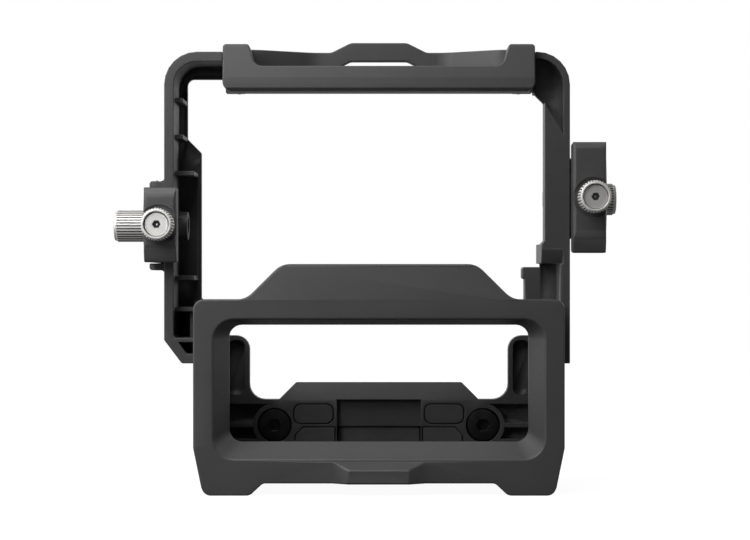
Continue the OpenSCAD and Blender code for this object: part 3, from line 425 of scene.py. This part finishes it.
def thumbscrew(stem, body, length, reach, place):
    """A knurled sleeve and the socket screw in it."""
    sleeve = lathe(stem + "_knob_turned", knob_rings(length), STEEL, place, closed_ends=False,
                   sharp_deg=25.0, inner=groove, inner_material=GROOVE_PAINTED_SHADE)
    screw = lathe(stem + "_screw_turned", head_rings(length, reach), HEAD_STEEL, place,
                  inner=socket, inner_material=SOCKET_PAINTED_SHADE)
    for piece, node in ((sleeve, stem + "_knob"), (screw, stem + "_screw")):
        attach(piece, body)
        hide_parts(node)


def axis_place(node, axis):
    """The place of a turned piece: its axis from the node's own box, its origin at the seat's end."""
    low, high = (Vector(v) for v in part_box(node))
    middle = (low + high) / 2
    if axis == "front":
        return Matrix.Translation((middle.x, high.y, middle.z)) @ Matrix.Rotation(math.pi / 2, 4, "X")
    if axis == "left":
        return Matrix.Translation((high.x, middle.y, middle.z)) @ Matrix.Rotation(-math.pi / 2, 4, "Y")
    return Matrix.Translation((low.x, middle.y, middle.z)) @ Matrix.Rotation(math.pi / 2, 4, "Y")


def span(node, axis):
    """A node's length along its axis, in millimetres."""
    low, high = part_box(node)
    return ((high[1] - low[1]) if axis == "front" else (high[0] - low[0])) / MM


for stem, axis in (("left_front", "front"), ("left_side", "left"),
                   ("right_front", "front"), ("right_side", "right")):
    length = span(stem + "_knob", axis)
    reach = span(stem + "_screw", axis) - (length - HEAD_SINK)
    thumbscrew(stem, stem + "_thumbscrew", length, reach, axis_place(stem + "_knob", axis))


def thread(r, pitch, z0, z1):
    """Rings of a screw thread, its ridge winding round once a pitch."""
    rings = []
    count = max(2, int((z1 - z0) / pitch * THREAD_STEPS))
    for i in range(count + 1):
        z = z0 + (z1 - z0) * i / count
        ring = []
        for k in range(RING_STEPS):
            phase = (z / pitch - k / RING_STEPS) % 1.0
            radius = r - THREAD_D * abs(2 * phase - 1)
            turn = 2 * math.pi * k / RING_STEPS
            ring.append(Vector((radius * math.cos(turn), radius * math.sin(turn), z)))
        rings.append(ring)
    return rings


def captive_screw(node, body):
    """A black socket screw: its axis along +Y, its head towards the front."""
    low, high = (Vector(v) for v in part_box(node))
    length = (high.y - low.y) / MM
    head_r = (high.x - low.x) / 2 / MM
    middle_x = (low.x + high.x) / 2
    middle_z = (low.z + high.z) / 2
    place = Matrix.Translation((middle_x, low.y, middle_z)) @ Matrix.Rotation(-math.pi / 2, 4, "X")
    rings = [hexagon(CAPTIVE_HEX_TIP, CAPTIVE_HEX_D), hexagon(CAPTIVE_HEX_AF, CAPTIVE_HEX_D),
             hexagon(CAPTIVE_HEX_AF, CAPTIVE_HEX_CUT_D), hexagon(CAPTIVE_HEX_AF + CAPTIVE_HEX_CUT, 0.0),
             circle(CAPTIVE_HEX_AF * CAPTIVE_RIM_SHARE, 0.0), circle(head_r - CAPTIVE_FLAT, 0.0),
             circle(head_r - CAPTIVE_ROUND_R, CAPTIVE_ROUND_D), circle(head_r, CAPTIVE_ROUND_END),
             circle(head_r, CAPTIVE_HEAD_H), circle(NECK_R, CAPTIVE_HEAD_H),
             circle(NECK_R, NECK_END), circle(STUD_R, NECK_END)]
    rings += thread(STUD_R, STUD_PITCH, NECK_END + THREAD_START, length - THREAD_STOP)
    rings += [circle(STUD_R - STUD_CUT, length)]
    piece = lathe(node + "_turned", rings, BLACK_STEEL, place)
    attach(piece, body)
    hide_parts(node)


captive_screw("rear_screw_left", "left_captive_screw")
captive_screw("rear_screw_right", "right_captive_screw")


# Camera

bezel_low, bezel_high = (Vector(v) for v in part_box("front_bezel"))
face_y = bezel_low.y / MM + GRIP_OUT
bezel_x = (bezel_low.x + bezel_high.x) / 2 / MM
camera_x = bezel_x + (PRINCIPAL_X - BEZEL_CENTRE_PX) * MM_PER_PIXEL
camera_data = bpy.data.cameras.new("camera")
camera_data.sensor_width = SENSOR
camera_data.lens = SENSOR * CAMERA_D / MM_PER_PIXEL / IMAGE_W
camera_data.shift_x = -(PRINCIPAL_X - IMAGE_W / 2) / IMAGE_W
camera_data.shift_y = (PRINCIPAL_Y - IMAGE_H / 2) / IMAGE_W
camera = bpy.data.objects.new("camera", camera_data)
camera.location = Vector((camera_x, face_y - CAMERA_D, CAMERA_Z)) * MM
camera.rotation_euler = (math.pi / 2, 0, 0)
bpy.context.scene.collection.objects.link(camera)
bpy.context.scene.camera = camera


# Light, floor and background

def area_light(name, location, target, size, power):
    """A soft square lamp, turned to its target."""
    data = bpy.data.lights.new(name, "AREA")
    data.shape = "RECTANGLE"
    data.size = size
    data.size_y = size
    data.energy = power
    lamp = bpy.data.objects.new(name, data)
    lamp.location = location
    lamp.rotation_euler = (Vector(target) - Vector(location)).to_track_quat("-Z", "Y").to_euler()
    bpy.context.scene.collection.objects.link(lamp)


area_light("key_left", (-0.24, -0.31, 0.25), (0, 0, 0.07), 0.15, 0.6)
area_light("high_left", (-0.24, -0.24, 0.36), (0, 0, 0.08), 0.28, 1.0)
area_light("side_left", (-0.45, -0.20, 0.10), (0, 0, 0.08), 0.20, 0.5)
area_light("side_right", (0.60, -0.20, 0.12), (0, 0, 0.09), 0.25, 0.4)
area_light("top_front", (-0.12, -0.27, 0.52), (0, 0, 0.08), 0.35, 1.7)
area_light("back_left", (-0.42, 0.50, 0.30), (0, 0, 0.08), 0.40, 1.1)
area_light("back_right", (0.45, 0.50, 0.30), (0, 0, 0.08), 0.40, 1.3)


def maths(tree, operation, first, second):
    """One step of arithmetic between two sockets."""
    node = tree.nodes.new("ShaderNodeMath")
    node.operation = operation
    tree.links.new(first, node.inputs[0])
    tree.links.new(second, node.inputs[1])
    return node.outputs[0]


def seen_white(tree, mirrored):
    """1 for camera and transmission rays, and the mirrored share of it for glossy rays."""
    path = tree.nodes.new("ShaderNodeLightPath")
    seen = maths(tree, "MAXIMUM", path.outputs["Is Camera Ray"], path.outputs["Is Transmission Ray"])
    glossy = maths(tree, "MULTIPLY", path.outputs["Is Glossy Ray"], mirrored)
    return maths(tree, "MAXIMUM", seen, glossy)


def map_range(tree, value, from_min, from_max, to_min, to_max):
    """Takes a value from one range to another."""
    node = tree.nodes.new("ShaderNodeMapRange")
    limits = (("From Min", from_min), ("From Max", from_max), ("To Min", to_min), ("To Max", to_max))
    for name, number in limits:
        node.inputs[name].default_value = number
    tree.links.new(value, node.inputs["Value"])
    return node.outputs["Result"]


# What glossy rays see of the room in front and at the far right, and the floor's own grey
FRONT_ROOM = 0.08
RIGHT_ROOM = 0.12
FLOOR_GREY = 0.15
world = bpy.data.worlds.new("studio")
world.use_nodes = True
bpy.context.scene.world = world
world_tree = world.node_tree
background = world_tree.nodes["Background"]
sky = world_tree.nodes.new("ShaderNodeTexCoord")
sky_axes = world_tree.nodes.new("ShaderNodeSeparateXYZ")
world_tree.links.new(sky.outputs["Generated"], sky_axes.inputs["Vector"])
backdrop = map_range(world_tree, sky_axes.outputs["Y"], -0.05, 0.60, FRONT_ROOM, 1.0)
far_side = map_range(world_tree, sky_axes.outputs["X"], 0.05, 0.60, 1.0, RIGHT_ROOM)
mirrored = maths(world_tree, "MULTIPLY", backdrop, far_side)
world_tree.links.new(seen_white(world_tree, mirrored), background.inputs["Strength"])
background.inputs["Color"].default_value = (1.0, 1.0, 1.0, 1.0)

floor_material, floor_tree, floor_shader = nodes_of("pale_floor")
floor_shader.inputs["Base Color"].default_value = (FLOOR_GREY, FLOOR_GREY, FLOOR_GREY, 1.0)
floor_shader.inputs["Roughness"].default_value = 0.9
floor_shader.inputs["Specular IOR Level"].default_value = 0.0
floor_shader.inputs["Emission Color"].default_value = (1.0, 1.0, 1.0, 1.0)
floor_place = floor_tree.nodes.new("ShaderNodeTexCoord").outputs["Object"]
floor_reach = floor_tree.nodes.new("ShaderNodeVectorMath")
floor_reach.operation = "LENGTH"
floor_tree.links.new(floor_place, floor_reach.inputs[0])
floor_axes = floor_tree.nodes.new("ShaderNodeSeparateXYZ")
floor_tree.links.new(floor_place, floor_axes.inputs["Vector"])
floor_mirrored = map_range(floor_tree, floor_axes.outputs["Y"], -0.05, 0.40, 0.04, 0.4)
floor_white = seen_white(floor_tree, floor_mirrored)
floor_fade = map_range(floor_tree, floor_reach.outputs["Value"], 0.08, 0.30, 0.95, 1.0)
floor_glow = maths(floor_tree, "MULTIPLY", floor_white, floor_fade)
floor_tree.links.new(floor_glow, floor_shader.inputs["Emission Strength"])
bpy.ops.mesh.primitive_plane_add(size=6.0, location=(0, 0, 0))
floor = bpy.context.active_object
floor.name = "floor"
floor.data.materials.append(floor_material)

bpy.context.scene.view_settings.view_transform = "Standard"
